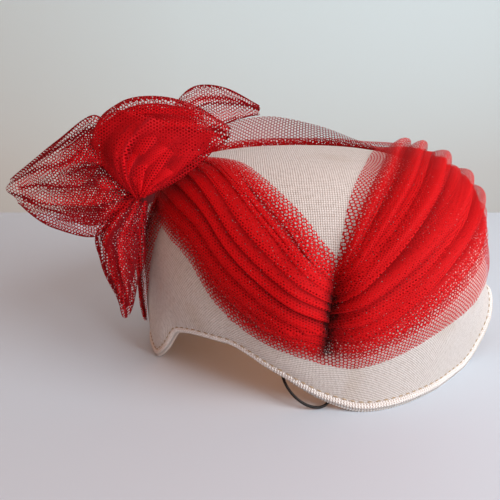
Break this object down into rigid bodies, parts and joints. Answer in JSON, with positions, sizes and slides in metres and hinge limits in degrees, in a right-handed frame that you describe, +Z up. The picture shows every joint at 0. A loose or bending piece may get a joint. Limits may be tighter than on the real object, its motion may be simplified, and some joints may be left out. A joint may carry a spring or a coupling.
{
  "type": "pillbox hat",
  "caption": "shaped pillbox hat of ivory woven straw with a wavy piped edge, pleated red tulle swathes, a tulle bow and a small wire loop",
  "frame": {"origin": "middle of the outline in plan, on the floor the hat stands on", "axes": "+X to the end without the bow, -Y to the front lobe of the edge, +Z up"},
  "size_m": [0.2656, 0.1732, 0.1445],
  "materials": {
    "ivory_straw_cloth": "woven ivory straw cloth, matte with a slight sheen",
    "red_tulle": "fine red net, pleated",
    "dark_wire": "glossy dark brown"
  },
  "bodies": {
    "root": {"crown": "ivory_straw_cloth", "edge_binding": "ivory_straw_cloth", "tulle_swathe_front": "red_tulle", "tulle_swathe_side": "red_tulle", "tulle_swathe_back": "red_tulle", "tulle_tail_side": "red_tulle", "bow_knot": "red_tulle", "bow_loop_left": "red_tulle", "bow_loop_low": "red_tulle", "bow_puff_top": "red_tulle", "bow_loop_right": "red_tulle", "pin_loop": "dark_wire"}
  },
  "joints": []
}
